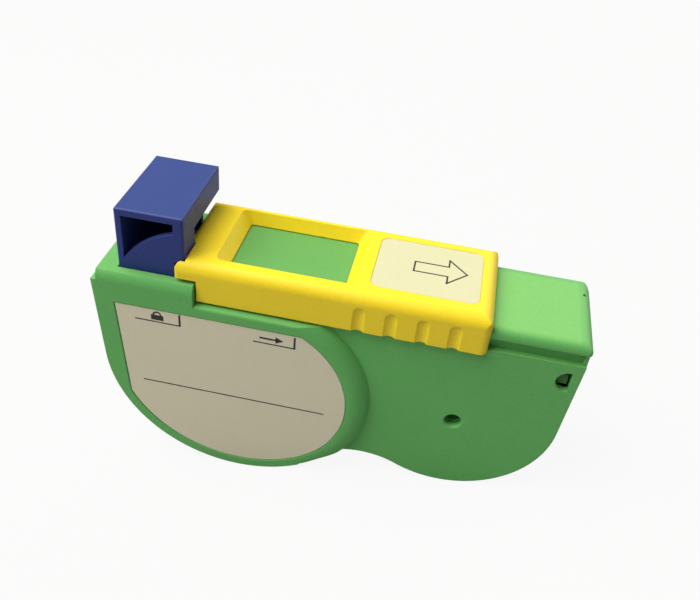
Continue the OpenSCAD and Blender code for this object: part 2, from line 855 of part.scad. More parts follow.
// Outline of the sticker on the slider, moved in by i
module arrow_label_shape(i) {
    round_box([arrow_label_x + i, arrow_label_y - arrow_label_w / 2 + i],
        [arrow_label_x + arrow_label_l - i, arrow_label_y + arrow_label_w / 2 - i], arrow_label_r - i);
}

// Pale sticker in the recess of the slider's top
module slider_label() {
    color([0.95, 0.93, 0.75]) translate([0, 0, slider_z - arrow_label_in])
        linear_extrude(label_t) arrow_label_shape(tongue_gap);
}

// Push button: a hollow head, open at the front, on a square stem in the deck's hole
module feed_button() {
    x1 = button_x + button_l;
    y1 = button_t / 2;
    in_y = y1 - button_wall;
    in_x = button_x + button_wall;
    color([0.2, 0.26, 0.53]) {
        difference() {
            intersection() {
                along_y(-y1, y1) difference() {
                    translate([button_x, stem_z]) square([button_l, head_z - stem_z]);
                    corner_cut([x1, head_z], head_round);
                    translate([button_x, 0]) mirror([1, 0]) corner_cut([0, head_z], head_round);
                }
                along_x(button_x, x1) difference() {
                    translate([-y1, stem_z]) square([button_t, head_z - stem_z]);
                    corner_cut([y1, head_z], head_round);
                    mirror([1, 0]) corner_cut([y1, head_z], head_round);
                }
                translate([0, 0, stem_z]) linear_extrude(head_z - stem_z)
                    round_box([button_x, -y1], [x1, y1], head_round);
            }
            span([button_x + stem_l, -y1 - over, stem_z - over], [x1 + over, y1 + over, head_under_z]);
            span([button_x + stem_l, head_cut_y, stem_z - over], [x1 + over, y1 + over, head_cut_z]);
            span([button_x - over, stem_y, stem_z - over], [x1 + over, y1 + over, head_cut_z]);
            span([in_x, -in_y, head_floor_z],
                [button_x + stem_l, stem_y - button_wall, head_z - head_top_wall]);
            span([in_x, -in_y, head_cut_z + button_wall], [button_x + stem_l, in_y, head_z - head_top_wall]);
            span([in_x, -in_y, stem_z - over],
                [button_x + stem_l - button_wall, stem_y - button_wall, head_floor_z - floor_t]);
            along_y(-y1 - over, -in_y + over) difference() {
                translate([mouth_x0, mouth_left_z])
                    square([mouth_x1 - mouth_x0, mouth_top_z - mouth_left_z]);
                translate(mouth_centre) circle(mouth_r);
            }
        }
        for (x = [button_x - catch_out, button_x + stem_l - wire_r])
            span([x, -catch_l / 2, deck_z - wall - catch_gap - catch_h],
                [x + catch_out + wire_r, catch_l / 2, deck_z - wall - catch_gap]);
    }
}

// Toothed rack under the stem's left wall, with a tongue up inside the stem
module feed_rack() {
    tip_h = pitch / 4 - backlash / 4 - addendum * tan(press_deg);
    root_h = pitch / 4 - backlash / 4 + dedendum * tan(press_deg);
    x_root = rack_line - dedendum;
    x_tip = rack_line + addendum;
    color([0.9, 0.89, 0.84]) {
        span([rack_x0, rack_y0, rack_z0], [x_root, rack_y0 + rack_w, stem_z]);
        span([button_x + button_wall, rack_y0, stem_z - over],
            [button_x + button_wall + rack_tongue_t, rack_y0 + rack_w, stem_z + rack_tongue]);
        along_y(rack_y0, rack_y0 + rack_w)
            for (k = [-1 : rack_teeth]) let (z = drive[1] + (k + 1 / 2) * pitch)
                polygon([
                    [x_root - over, z - root_h], [x_root, z - root_h], [x_tip, z - tip_h],
                    [x_tip, z + tip_h], [x_root, z + root_h], [x_root - over, z + root_h]
                ]);
    }
}

// Involute tooth: angle between the tooth's middle and its flank at radius r
function involute(base, r) = let (t = acos(min(1, base / r))) tan(t) * 180 / PI - t;
function flank_deg(n, r) =
    let (rp = gear_m * n / 2, base = rp * cos(press_deg))
    90 / n - backlash * 45 / (PI * rp) + involute(base, rp) - involute(base, max(base, r));

// Gear of n teeth with its first tooth at angle a
module gear(n, a) {
    rp = gear_m * n / 2;
    root = rp - dedendum;
    low = max(root, rp * cos(press_deg));
    tip = rp + addendum;
    steps = 3;
    radii = [root, for (k = [0 : steps]) low + (tip - low) * k / steps];
    polygon([
        for (i = [0 : n - 1], s = [-1, 1], k = [0 : steps + 1])
            let (r = radii[s < 0 ? k : steps + 1 - k], b = a + 360 * i / n + s * flank_deg(n, r))
                r * [cos(b), sin(b)]
    ]);
}

// Wheel on the drive axle, with the ratchet's teeth in a recess at its back
module drive_gear() {
    saw = 360 / ratchet_n;
    color([0.93, 0.92, 0.88]) difference() {
        along_y(wheel_y0, wheel_y1) translate(drive) gear(wheel_n, mesh_deg);
        rod(drive, pin_r + run_gap, wheel_y0 - over, wheel_y1 + over);
        along_y(ratchet_y0, wheel_y1 + over) translate(drive) polygon([
            for (i = [0 : ratchet_n - 1], s = [0, 1])
                let (a = (i + s * ratchet_share) * saw) (ratchet_r - s * ratchet_t) * [cos(a), sin(a)]
        ]);
    }
}

// Pinion in the rack, with the two springy arms of the one-way clutch
module clutch_pinion() {
    color([0.85, 0.36, 0.2]) difference() {
        union() {
            along_y(pinion_y0, pinion_y1) translate(drive) gear(pinion_n, 180);
            rod(drive, pinion_hub_r, ratchet_y0 + soft_gap, pinion_y0 + over);
            along_y(ratchet_y0 + soft_gap, wheel_y1 - soft_gap) translate(drive)
                for (turn = [0, 180]) rotate(turn) {
                    ring_part(arm_r - arm_t, arm_r, arm_from, arm_to);
                    ring_part(pinion_hub_r - arm_t, arm_r - arm_t / 2,
                        arm_from - arm_root, arm_from + arm_root);
                    ring_part(arm_r - arm_t / 2, ratchet_r - ratchet_t - soft_gap,
                        arm_to - arm_root, arm_to - arm_root / 3);
                }
        }
        rod(drive, pin_r + run_gap, ratchet_y0 - over, pinion_y1 + over);
    }
}

// Steel pin that carries wheel and pinion
module drive_axle() {
    color([0.78, 0.79, 0.8]) rod(drive, pin_r, -raised_in_y + socket_deep / 2 + run_gap, -run_gap);
}

// Hub of the take-up reel with its rear flange and a spigot for the gear
module take_up_spool() {
    color([0.92, 0.92, 0.9]) difference() {
        union() {
            rod(take_up, hub_r, -flange_y, flange_out);
            rod(take_up, flange_r, flange_y, flange_out);
            rod(take_up, spacer_r, flange_y, raised_in_y - end_gap);
            rod(take_up, spigot_r, -flange_y - spigot_l, -flange_y + over);
        }
        rod(take_up, post_r + run_gap, -raised_y, raised_y);
    }
}

// Gear and front flange of the take-up reel
module take_up_gear() {
    color([0.95, 0.94, 0.9]) difference() {
        union() {
            along_y(gear_y0, gear_y1) translate(take_up) gear(reel_n, mesh_deg + 180 + 180 / reel_n);
            rod(take_up, boss_r, gear_y1 - over, -flange_y);
            rod(take_up, flange_r, -flange_out, -flange_y);
            rod(take_up, spacer_r, -raised_in_y + end_gap, gear_y0 + over);
        }
        rod(take_up, post_r + run_gap, -raised_y, raised_y);
        rod(take_up, spigot_r + run_gap, -flange_y - spigot_l - run_gap, -flange_y + over);
    }
}

// A roll of tape between radius r0 and r1
module tape_roll(c, r0, r1) {
    difference() {
        rod(c, r1, -tape_w / 2, tape_w / 2);
        rod(c, r0, -tape_w, tape_w);
    }
}

// Used tape on the take-up hub
module used_tape_roll() {
    color([0.82, 0.84, 0.85]) tape_roll(take_up, hub_r + run_gap, used_r);
}

// Pawl that stops the take-up gear from turning back
module anti_reverse_pawl() {
    color([0.9, 0.89, 0.84]) difference() {
        along_y(pawl_y0, pawl_y0 + pawl_w) {
            translate(pawl_pin) circle(pawl_ring_r);
            translate(pawl_tip) circle(pawl_tip_r);
            polygon([
                pawl_pin + pawl_ring_r * [cos(pawl_deg + 90), sin(pawl_deg + 90)],
                pawl_tip + pawl_tip_r * [cos(180), sin(180)],
                pawl_tip + pawl_tip_r * [cos(0), sin(0)],
                pawl_pin + pawl_ring_r * [cos(pawl_deg - 90), sin(pawl_deg - 90)]
            ]);
            strip(pawl_pin, pawl_pin + pawl_tail * [cos(pawl_tail_deg), sin(pawl_tail_deg)],
                pawl_tail_t);
        }
        rod(pawl_pin, pawl_pin_r + run_gap, -raised_y, 0);
    }
}

// Hub of the supply reel with its rear flange and a spigot for the front flange
module supply_spool() {
    color([0.92, 0.92, 0.9]) difference() {
        union() {
            rod(supply, supply_hub_r, -flange_y, flange_out);
            rod(supply, supply_flange_r, flange_y, flange_out);
            rod(supply, spacer_r, flange_y, part_y - end_gap);
            rod(supply, spigot_r, -flange_y - spigot_l, -flange_y + over);
        }
        rod(supply, post_r + run_gap, -raised_y, raised_y);
    }
}

// Front flange of the supply reel
module supply_flange() {
    color([0.95, 0.94, 0.9]) difference() {
        union() {
            rod(supply, supply_flange_r, -flange_out, -flange_y);
            rod(supply, spigot_boss_r, -flange_y - spigot_l - floor_t, -flange_y);
            rod(supply, spacer_r, -case_in_y + end_gap, -flange_y);
        }
        rod(supply, post_r + run_gap, -raised_y, raised_y);
        rod(supply, spigot_r + run_gap, -flange_y - spigot_l - run_gap, -flange_y + over);
    }
}

// New tape on the supply hub
module new_tape_roll() {
    color([0.97, 0.97, 0.95]) tape_roll(supply, supply_hub_r + run_gap, new_r);
}

// Lever with a springy tail that rubs on the supply flange
module supply_brake() {
    color([0.9, 0.89, 0.84]) difference() {
        along_y(brake_y0, brake_y0 + brake_w) {
            translate(brake_pin) circle(brake_ring_r);
            translate(brake_tip) circle(brake_tip_r);
            strip(brake_pin, brake_tip, brake_arm_t);
            strip(brake_pin, brake_pin + [0, brake_tail], pawl_tail_t);
        }
        rod(brake_pin, brake_pin_r + run_gap, -raised_y, 0);
    }
}

// A roller with low rims beside the tape
module guide_roller(c) {
    difference() {
        union() {
            rod(c, roller_r, -roller_w / 2, roller_w / 2);
            for (y = [-roller_w / 2, roller_w / 2 - roller_rim])
                rod(c, roller_r + roller_rim, y, y + roller_rim);
        }
        rod(c, axle_r + run_gap, -roller_w, roller_w);
    }
}

// Roller beside the slot, on the used tape's side
module left_guide_roller() {
    color([0.88, 0.88, 0.86]) guide_roller(roller_l);
}

// Roller beside the slot, on the new tape's side
module right_guide_roller() {
    color([0.88, 0.88, 0.86]) guide_roller(roller_rt);
}

// Steel pins of both rollers
module guide_pins() {
    color([0.78, 0.79, 0.8]) for (c = [roller_l, roller_rt])
        rod(c, axle_r, -case_in_y + socket_deep + run_gap, part_y - run_gap);
}

// Plate under the pad, on two ribs inside the neck
module pad_holder() {
    z1 = pad_z - pad_h;
    color([0.85, 0.86, 0.86]) difference() {
        span([pad_x0 - holder_end, -neck_in_y + holder_side, z1 - holder_t],
            [pad_x1 + holder_end, neck_in_y - holder_side, z1]);
        for (y = [-neck_in_y, neck_in_y - rail_rib - 2 * holder_side])
            span([pad_x0 - wall, y, z1 - holder_t / 2],
                [pad_x1 + wall, y + rail_rib + 2 * holder_side, z1 + over]);
    }
}

// Soft pad that presses the tape up into the slot
module wiping_pad() {
    z0 = pad_z - pad_h;
    color([0.75, 0.76, 0.78]) along_y(-pad_w / 2, pad_w / 2) difference() {
        translate([pad_x0, z0]) square([pad_x1 - pad_x0, pad_h]);
        corner_cut([pad_x1, pad_z], pad_round);
        translate([pad_x0, 0]) mirror([1, 0]) corner_cut([0, pad_z], pad_round);
    }
}

// Direction of the straight run from turn i to the next, unwound past 180 degrees
function run_deg(i) =
    let (a = tape_turns[i], b = tape_turns[i + 1], d = b[0] - a[0], w = atan2(d[1], d[0]))
    (w < 0 ? w + 360 : w) - asin((b[2] * b[1] - a[2] * a[1]) / norm(d));

// Points of one face of the tape, e away from its middle
function tape_side(e) = [
    for (i = [0 : len(tape_turns) - 1])
        let (
            t = tape_turns[i],
            a0 = run_deg(max(0, i - 1)),
            a1 = run_deg(min(len(tape_turns) - 2, i)),
            steps = a1 == a0 ? 0 : 8
        )
        for (k = [0 : steps])
            let (a = a0 + (steps == 0 ? 0 : (a1 - a0) * k / steps), r = t[2] * t[1] - e)
                t[0] + r * [sin(a), -cos(a)]
];

// The stretch of tape between the two rolls, over the rollers and the pad
module tape_run() {
    near = tape_side(tape_t / 2);
    far = tape_side(-tape_t / 2);
    color([0.98, 0.98, 0.97]) along_y(-tape_w / 2, tape_w / 2)
        polygon([each near, for (k = [len(far) - 1 : -1 : 0]) far[k]]);
}

// Point k of the spring's middle line, and the ring of points about it
function spring_point(k) =
    let (a = 360 * k / spring_rings)
    [spring_r * cos(a), spring_r * sin(a), spring_z0 + (spring_z1 - spring_z0) * k / spring_last];
function spring_ring(k) =
    let (p = spring_point(k), a = 360 * k / spring_rings)
    [
        for (j = [0 : spring_sides - 1]) let (b = 360 * j / spring_sides)
            p + wire_r * (cos(b) * [cos(a), sin(a), 0] + sin(b) * [0, 0, 1])
    ];

// Helical spring between the shelf and the button's floor
module button_spring() {
    n = spring_sides;
    tube = [
        for (k = [0 : spring_last - 1], j = [0 : n - 1])
            let (a = k * n + j, b = k * n + (j + 1) % n)
                each [[a, b, b + n], [a, b + n, a + n]]
    ];
    foot = [for (j = [1 : n - 2]) [0, j + 1, j]];
    crown = [for (j = [1 : n - 2]) [spring_last * n, spring_last * n + j, spring_last * n + j + 1]];
    color([0.7, 0.71, 0.73]) translate([spring_x, spring_y, 0]) polyhedron(
        points = [for (k = [0 : spring_last]) each spring_ring(k)],
        faces = [for (f = concat(tube, foot, crown)) [f[0], f[2], f[1]]]
    );
}

case_body();
rear_cover();
cover_screws();
side_label();
slider_cover();
slider_label();
feed_button();
feed_rack();
button_spring();
drive_gear();
clutch_pinion();
drive_axle();
take_up_spool();
take_up_gear();
used_tape_roll();
anti_reverse_pawl();
supply_spool();
supply_flange();
new_tape_roll();
supply_brake();
left_guide_roller();
right_guide_roller();
guide_pins();
pad_holder();
wiping_pad();
tape_run();
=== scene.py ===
import json
import math

import bmesh
import bpy
from mathutils import Matrix, Vector


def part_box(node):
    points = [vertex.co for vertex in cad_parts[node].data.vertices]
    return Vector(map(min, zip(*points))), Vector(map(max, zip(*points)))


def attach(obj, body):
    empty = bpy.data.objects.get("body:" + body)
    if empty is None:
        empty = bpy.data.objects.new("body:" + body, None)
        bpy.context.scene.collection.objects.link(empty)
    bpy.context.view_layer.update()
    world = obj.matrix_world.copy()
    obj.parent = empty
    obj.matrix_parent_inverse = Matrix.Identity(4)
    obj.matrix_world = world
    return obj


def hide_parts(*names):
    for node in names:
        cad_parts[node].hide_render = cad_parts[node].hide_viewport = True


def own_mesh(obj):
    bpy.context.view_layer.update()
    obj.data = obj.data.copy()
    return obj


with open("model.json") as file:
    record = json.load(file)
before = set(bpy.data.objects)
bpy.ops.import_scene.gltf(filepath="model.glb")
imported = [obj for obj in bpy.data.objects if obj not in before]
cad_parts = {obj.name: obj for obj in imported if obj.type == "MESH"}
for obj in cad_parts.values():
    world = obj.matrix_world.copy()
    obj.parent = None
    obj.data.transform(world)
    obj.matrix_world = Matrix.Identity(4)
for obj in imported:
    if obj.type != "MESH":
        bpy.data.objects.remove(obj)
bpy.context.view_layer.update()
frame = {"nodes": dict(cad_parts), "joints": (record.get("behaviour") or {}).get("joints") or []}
nodes = frame["nodes"]
mm = 0.001

# The studio: a white table top that the cassette stands on with both lobes, so it
# slopes by the lobes' common tangent, under a broad soft lamp from the upper left, a
# second one behind, and a dim sky. The camera looks down at the front.
scene = bpy.context.scene
scene.view_settings.view_transform = "Standard"

# Middles and radii of both lobes, in mm in the X-Z plane
lobe_left, lobe_left_r = Vector((-23.425, 35.0)), 35.0
lobe_right, lobe_right_r = Vector((31.232, 33.8)), 26.8
between = lobe_right - lobe_left
table_tilt = (math.atan2(between.y, between.x)
              + math.asin((lobe_left_r - lobe_right_r) / between.length))
table_touch = lobe_left + lobe_left_r * Vector((math.sin(table_tilt), -math.cos(table_tilt)))

table_half = 6.0
table_grey = (0.45, 0.45, 0.45, 1.0)
white = (1.0, 1.0, 1.0, 1.0)
white_share = 0.92
table_mesh = bpy.data.meshes.new("table_top")
table_bm = bmesh.new()
bmesh.ops.create_grid(table_bm, x_segments=2, y_segments=2, size=table_half)
table_bm.transform(Matrix.Translation((table_touch.x * mm, 0.0, table_touch.y * mm))
                   @ Matrix.Rotation(-table_tilt, 4, "Y"))
table_bm.to_mesh(table_mesh)
table_bm.free()
table = bpy.data.objects.new("table_top", table_mesh)
scene.collection.objects.link(table)

table_paint = bpy.data.materials.new("white_table_top")
table_paint.use_nodes = True
tree = table_paint.node_tree
tree.nodes.clear()
out = tree.nodes.new("ShaderNodeOutputMaterial")
matt = tree.nodes.new("ShaderNodeBsdfDiffuse")
matt.inputs["Color"].default_value = table_grey
glow = tree.nodes.new("ShaderNodeEmission")
glow.inputs["Color"].default_value = white
glow.inputs["Strength"].default_value = 1.0
share = tree.nodes.new("ShaderNodeMath")
share.operation = "MULTIPLY"
share.inputs[1].default_value = white_share
seen = tree.nodes.new("ShaderNodeLightPath")
mix = tree.nodes.new("ShaderNodeMixShader")
tree.links.new(seen.outputs["Is Camera Ray"], share.inputs[0])
tree.links.new(share.outputs[0], mix.inputs["Fac"])
tree.links.new(matt.outputs[0], mix.inputs[1])
tree.links.new(glow.outputs[0], mix.inputs[2])
tree.links.new(mix.outputs[0], out.inputs["Surface"])
table.data.materials.append(table_paint)

sky = bpy.data.worlds.new("dim_sky")
scene.world = sky
sky.use_nodes = True
sky_tree = sky.node_tree
sky_tree.nodes.clear()
sky_out = sky_tree.nodes.new("ShaderNodeOutputWorld")
sky_dim = sky_tree.nodes.new("ShaderNodeBackground")
sky_dim.inputs["Color"].default_value = (0.93, 0.96, 1.0, 1.0)
sky_dim.inputs["Strength"].default_value = 0.09
sky_white = sky_tree.nodes.new("ShaderNodeBackground")
sky_white.inputs["Color"].default_value = white
sky_white.inputs["Strength"].default_value = 0.96
sky_seen = sky_tree.nodes.new("ShaderNodeLightPath")
sky_mix = sky_tree.nodes.new("ShaderNodeMixShader")
sky_tree.links.new(sky_seen.outputs["Is Camera Ray"], sky_mix.inputs["Fac"])
sky_tree.links.new(sky_dim.outputs[0], sky_mix.inputs[1])
sky_tree.links.new(sky_white.outputs[0], sky_mix.inputs[2])
sky_tree.links.new(sky_mix.outputs[0], sky_out.inputs["Surface"])

lamp_colour = (1.0, 0.965, 0.90)
lamp_target = Vector((0.0, 0.0, 0.04))
for lamp_name, lamp_at, lamp_size, lamp_power in (
        ("overhead_lamp", Vector((-0.46, -0.11, 0.77)), 0.9, 13.7),
        ("window_light", Vector((0.45, 0.75, 0.58)), 1.0, 5.6)):
    lamp_data = bpy.data.lights.new(lamp_name, "AREA")
    lamp_data.shape = "SQUARE"
    lamp_data.size = lamp_size
    lamp_data.color = lamp_colour
    lamp_data.energy = lamp_power
    lamp = bpy.data.objects.new(lamp_name, lamp_data)
    scene.collection.objects.link(lamp)
    aim = (lamp_at - lamp_target).to_track_quat("Z", "Y").to_matrix().to_4x4()
    lamp.matrix_world = Matrix.Translation(lamp_at) @ aim

# The lens and the shift of its middle are given in pixels of the 700-pixel wide picture
picture_wide = 700.0
focal_pixels = 809.6
shift_pixels = (-2.1, -14.0)
sensor = 36.0
camera_place = (0.0214, -0.1604, 0.1782)
camera_data = bpy.data.cameras.new("camera")
camera_data.sensor_width = sensor
camera_data.lens = focal_pixels / picture_wide * sensor
camera_data.shift_x = shift_pixels[0] / picture_wide
camera_data.shift_y = shift_pixels[1] / picture_wide
camera_data.clip_start = 0.005
camera = bpy.data.objects.new("camera", camera_data)
scene.collection.objects.link(camera)
look = Vector((-0.098, 0.791, -0.604)).normalized()
right = Vector((0.979, 0.186, 0.086))
right = (right - right.dot(look) * look).normalized()
up = right.cross(look)
turn = Matrix((right, up, -look)).transposed().to_4x4()
camera.matrix_world = Matrix.Translation(camera_place) @ turn
scene.camera = camera


# The case: two green mouldings of a tough matt plastic, screwed together from the
# back. The skin has the fine grain of a spark-eroded mould, and every edge has the
# small rounding that a moulding needs, which here is given to the light only.
def moulded(name, colour, grain=0.5, gloss=0.46, edge=0.35, uneven=0.05,
            dust_and_sheen=0.0, dust_and_sheen_colour=(0.74, 0.60, 0.27), edge_wear_and_highlight=0.2):
    """A moulded plastic: its colour, the grain's strength, roughness, edge rounding in mm,
    unevenness of the colour, share and colour of a dusting and painted sheen that pale the faces
    that look up, and how far its edges are paled, as wear and as a painted highlight along them."""
    paint = bpy.data.materials.new(name)
    paint.use_nodes = True
    tree = paint.node_tree
    links = tree.links
    shader = tree.nodes["Principled BSDF"]
    shader.inputs["IOR"].default_value = 1.46
    shader.inputs["Specular IOR Level"].default_value = 0.3
    place = tree.nodes.new("ShaderNodeTexCoord")
    cloud = tree.nodes.new("ShaderNodeTexNoise")
    cloud.inputs["Scale"].default_value = 55.0
    cloud.inputs["Detail"].default_value = 3.0
    links.new(place.outputs["Object"], cloud.inputs["Vector"])
    speck = tree.nodes.new("ShaderNodeTexNoise")
    speck.inputs["Scale"].default_value = 1500.0
    speck.inputs["Detail"].default_value = 2.0
    links.new(place.outputs["Object"], speck.inputs["Vector"])
    fleck = tree.nodes.new("ShaderNodeMix")
    fleck.inputs[0].default_value = 0.6
    links.new(cloud.outputs["Fac"], fleck.inputs[2])
    links.new(speck.outputs["Fac"], fleck.inputs[3])
    tint = tree.nodes.new("ShaderNodeValToRGB")
    tint.color_ramp.elements[0].position = 0.35
    tint.color_ramp.elements[1].position = 0.65
    tint.color_ramp.elements[0].color = [c * (1.0 - uneven) for c in colour] + [1.0]
    tint.color_ramp.elements[1].color = [min(1.0, c * (1.0 + uneven)) for c in colour] + [1.0]
    links.new(fleck.outputs[0], tint.inputs["Fac"])
    # Faces that look up are mixed toward a paler colour: a dusting, and a painted sheen for the light on
    # tops.
    facing = tree.nodes.new("ShaderNodeSeparateXYZ")
    links.new(place.outputs["Normal"], facing.inputs[0])
    lies = tree.nodes.new("ShaderNodeMapRange")
    lies.inputs["From Min"].default_value = 0.45
    lies.inputs["To Max"].default_value = dust_and_sheen
    links.new(facing.outputs["Z"], lies.inputs["Value"])
    dusted_and_sheened = tree.nodes.new("ShaderNodeMix")
    dusted_and_sheened.data_type = "RGBA"
    dusted_and_sheened.inputs[7].default_value = (*dust_and_sheen_colour, 1.0)
    links.new(lies.outputs["Result"], dusted_and_sheened.inputs[0])
    links.new(tint.outputs["Color"], dusted_and_sheened.inputs[6])
    wear = tree.nodes.new("ShaderNodeMapRange")
    wear.inputs["To Min"].default_value = gloss - 0.05
    wear.inputs["To Max"].default_value = gloss + 0.07
    links.new(cloud.outputs["Fac"], wear.inputs["Value"])
    links.new(wear.outputs["Result"], shader.inputs["Roughness"])
    rounding = tree.nodes.new("ShaderNodeBevel")
    rounding.samples = 6
    rounding.inputs["Radius"].default_value = edge * mm
    face_on = tree.nodes.new("ShaderNodeNewGeometry")
    bend = tree.nodes.new("ShaderNodeVectorMath")
    bend.operation = "DOT_PRODUCT"
    links.new(rounding.outputs["Normal"], bend.inputs[0])
    links.new(face_on.outputs["Normal"], bend.inputs[1])
    # Edges within the rounding's reach are paled: wear, and a painted highlight along the rounded edges.
    edge_wear_and_highlight_mask = tree.nodes.new("ShaderNodeMapRange")
    edge_wear_and_highlight_mask.inputs["From Min"].default_value = 0.98
    edge_wear_and_highlight_mask.inputs["From Max"].default_value = 0.80
    edge_wear_and_highlight_mask.inputs["To Max"].default_value = edge_wear_and_highlight
    links.new(bend.outputs["Value"], edge_wear_and_highlight_mask.inputs["Value"])
    pale = tree.nodes.new("ShaderNodeMix")
    pale.data_type = "RGBA"
    pale.inputs[7].default_value = [min(1.0, c * 1.5 + 0.06) for c in colour] + [1.0]
    links.new(edge_wear_and_highlight_mask.outputs["Result"], pale.inputs[0])
    links.new(dusted_and_sheened.outputs[2], pale.inputs[6])
    links.new(pale.outputs[2], shader.inputs["Base Color"])
    bump = tree.nodes.new("ShaderNodeBump")
    bump.inputs["Strength"].default_value = grain
    bump.inputs["Distance"].default_value = 0.00008
    links.new(speck.outputs["Fac"], bump.inputs["Height"])
    links.new(rounding.outputs["Normal"], bump.inputs["Normal"])
    links.new(bump.outputs["Normal"], shader.inputs["Normal"])
    return paint


def dress(name, paint):
    """Gives a CAD node one finish all over."""
    nodes[name].data.materials.clear()
    nodes[name].data.materials.append(paint)


# Both greens take a little of that dusting and painted sheen on the faces that look up.
case_green = moulded("green_case_plastic", (0.130, 0.462, 0.124),
                     grain=0.6, gloss=0.5, edge=0.4, uneven=0.04, dust_and_sheen=0.04)
cover_green = moulded("green_cover_plastic", (0.126, 0.45, 0.12),
                      grain=0.6, gloss=0.5, edge=0.4, uneven=0.04, dust_and_sheen=0.04)


def painted_shade_and_tint_box(paint, middle, reach, tint, soft=0.8):
    """Tints a finish inside a box with a soft edge, given by its middle and half sizes in mm; a tint below
    one is painted shade.
    """
    tree = paint.node_tree
    link = tree.links.new
    colour_in = tree.nodes["Principled BSDF"].inputs["Base Color"]
    place = tree.nodes.new("ShaderNodeTexCoord")
    here = place.outputs["Object"]
    for action, size in (("SUBTRACT", middle), ("ABSOLUTE", None), ("SUBTRACT", reach)):
        step = tree.nodes.new("ShaderNodeVectorMath")
        step.operation = action
        if size:
            step.inputs[1].default_value = [v * mm for v in size]
        link(here, step.inputs[0])
        here = step.outputs[0]
    sides = tree.nodes.new("ShaderNodeSeparateXYZ")
    link(here, sides.inputs[0])
    farthest = sides.outputs["X"]
    for way in ("Y", "Z"):
        larger = tree.nodes.new("ShaderNodeMath")
        larger.operation = "MAXIMUM"
        link(farthest, larger.inputs[0])
        link(sides.outputs[way], larger.inputs[1])
        farthest = larger.outputs[0]
    fade = tree.nodes.new("ShaderNodeMapRange")
    fade.interpolation_type = "SMOOTHSTEP"
    fade.inputs["From Min"].default_value = -soft * mm
    fade.inputs["From Max"].default_value = soft * mm
    fade.inputs["To Min"].default_value = 1.0
    fade.inputs["To Max"].default_value = 0.0
    link(farthest, fade.inputs["Value"])
    box_tint_node = tree.nodes.new("ShaderNodeMix")
    box_tint_node.data_type = "RGBA"
    box_tint_node.blend_type = "MULTIPLY"
    box_tint_node.inputs[7].default_value = (*tint, 1.0)
    link(fade.outputs["Result"], box_tint_node.inputs[0])
    link(colour_in.links[0].from_socket, box_tint_node.inputs[6])
    link(box_tint_node.outputs[2], colour_in)


# The slab inside the slider's window is painted darker, a painted shade for the shade that the
# window's walls cast there; its end has a box that is tinted paler; and the cover's latch
# is painted dark, a painted shade for the shade of its D-shaped hole.
rail_top = 61.0
# Painted shade: the slab is darkened under the slider's window.
painted_shade_and_tint_box(case_green, (-13.2, 0.75, rail_top), (15.2, 11.0, 0.5), (0.82, 0.78, 0.72))
# A paler box over the slab's end.
painted_shade_and_tint_box(case_green, (30.5, -0.9, rail_top), (26.5, 11.7, 0.5), (1.22, 1.10, 1.05), soft=0.4)
# Painted shade: the latch is darkened where its D-shaped hole shades it.
painted_shade_and_tint_box(cover_green, (55.4, -7.0, 49.3), (2.6, 7.0, 2.6), (0.40, 0.42, 0.38), soft=0.3)
dress("case_body", case_green)
dress("rear_cover", cover_green)


# The cover screws: four self-tapping steel screws with cross-slotted heads, zinc
# plated, sunk in wells in the back cover.
def metal(name, colour, rough, streak=900.0):
    """A bare or plated metal with faint turning marks."""
    paint = bpy.data.materials.new(name)
    paint.use_nodes = True
    tree = paint.node_tree
    shader = tree.nodes["Principled BSDF"]
    shader.inputs["Metallic"].default_value = 1.0
    shader.inputs["Base Color"].default_value = (*colour, 1.0)
    place = tree.nodes.new("ShaderNodeTexCoord")
    marks = tree.nodes.new("ShaderNodeTexNoise")
    marks.inputs["Scale"].default_value = streak
    marks.inputs["Detail"].default_value = 4.0
    spread = tree.nodes.new("ShaderNodeMapRange")
    spread.inputs["To Min"].default_value = rough - 0.08
    spread.inputs["To Max"].default_value = rough + 0.1
    tree.links.new(place.outputs["Object"], marks.inputs["Vector"])
    tree.links.new(marks.outputs["Fac"], spread.inputs["Value"])
    tree.links.new(spread.outputs["Result"], shader.inputs["Roughness"])
    return paint


zinc = metal("zinc_plate", (0.62, 0.63, 0.64), 0.38)
dress("cover_screws", zinc)


# The side label: a silver-grey paper sticker in a shallow recess of the raised lobe.
# Its print is a pair of corner brackets that mark the two places of the slider, with
# a padlock and an arrow drawn beside them, and one thin rule across the middle.
paper_grey = moulded("silver_grey_paper", (0.74, 0.70, 0.535),
                     grain=0.25, gloss=0.42, edge=0.05, uneven=0.02)
dress("side_label", paper_grey)


def ink_mesh(name, shapes, lift, axis, paint, thick=0.03):
    """Flat printed shapes, each a list of points in mm, from height lift outwards along an
    axis: to the front on a side face, else upwards."""
    mesh = bpy.data.meshes.new(name)
    bm = bmesh.new()
    for shape in shapes:
        if axis == "y":
            ring = [bm.verts.new((x * mm, lift * mm, z * mm)) for x, z in shape]
            push = Vector((0.0, -thick * mm, 0.0))
        else:
            ring = [bm.verts.new((x * mm, y * mm, lift * mm)) for x, y in shape]
            push = Vector((0.0, 0.0, thick * mm))
        face = bm.faces.new(ring)
        raised = bmesh.ops.extrude_face_region(bm, geom=[face])
        bmesh.ops.translate(bm, vec=push,
                            verts=[v for v in raised["geom"] if isinstance(v, bmesh.types.BMVert)])
    bmesh.ops.recalc_face_normals(bm, faces=bm.faces)
    bm.to_mesh(mesh)
    bm.free()
    piece = bpy.data.objects.new(name, mesh)
    scene.collection.objects.link(piece)
    mesh.materials.append(paint)
    return piece


def bar(x0, y0, x1, y1):
    """A rectangle between two corners."""
    return [(x0, y0), (x1, y0), (x1, y1), (x0, y1)]


